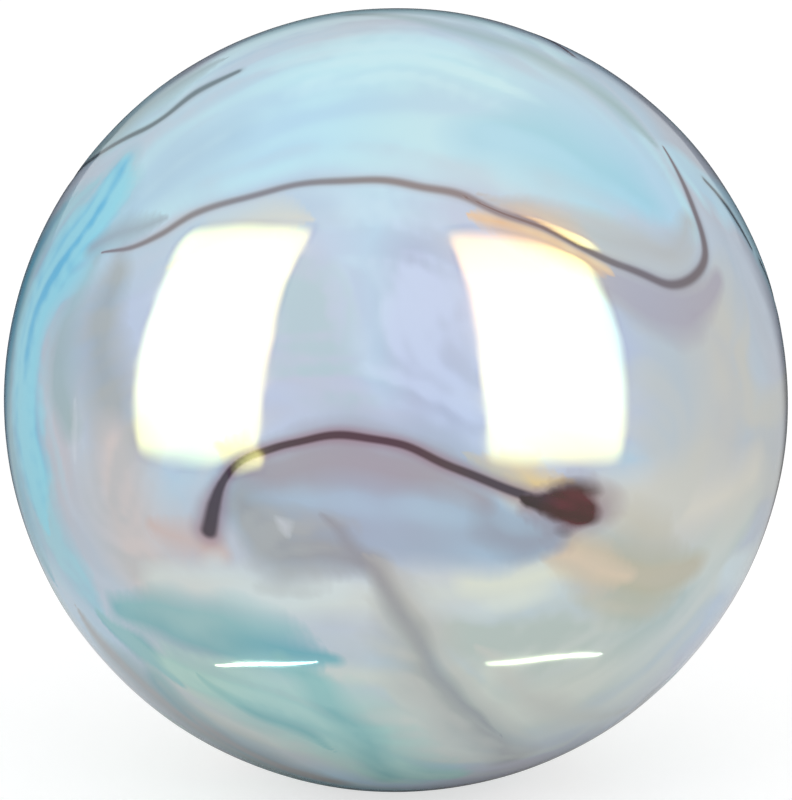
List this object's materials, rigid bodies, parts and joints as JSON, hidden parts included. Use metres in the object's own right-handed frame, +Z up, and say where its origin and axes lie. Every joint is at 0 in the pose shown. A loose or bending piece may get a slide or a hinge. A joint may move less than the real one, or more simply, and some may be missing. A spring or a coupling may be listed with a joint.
{
  "type": "glass marble",
  "caption": "Solid glass playing marble: a true ball of pale opal glass swirled with sky blue, teal, cream and thin dark threads, for games, tracks and rolling on a table.",
  "frame": {"origin": "the centre of the ball", "axes": "+Z is up; the face with the dark threads looks along -Y, towards the picture's camera; the ball itself is the same round every axis"},
  "size_m": [0.016, 0.016, 0.016],
  "materials": {
    "swirled_opal_glass": "fire-polished gloss with a faint pearl lustre; opaque opal body swirled with sky blue, azure, teal, cream, tan and thin dark brown threads"
  },
  "bodies": {
    "root": {"marble": "swirled_opal_glass"}
  },
  "joints": []
}
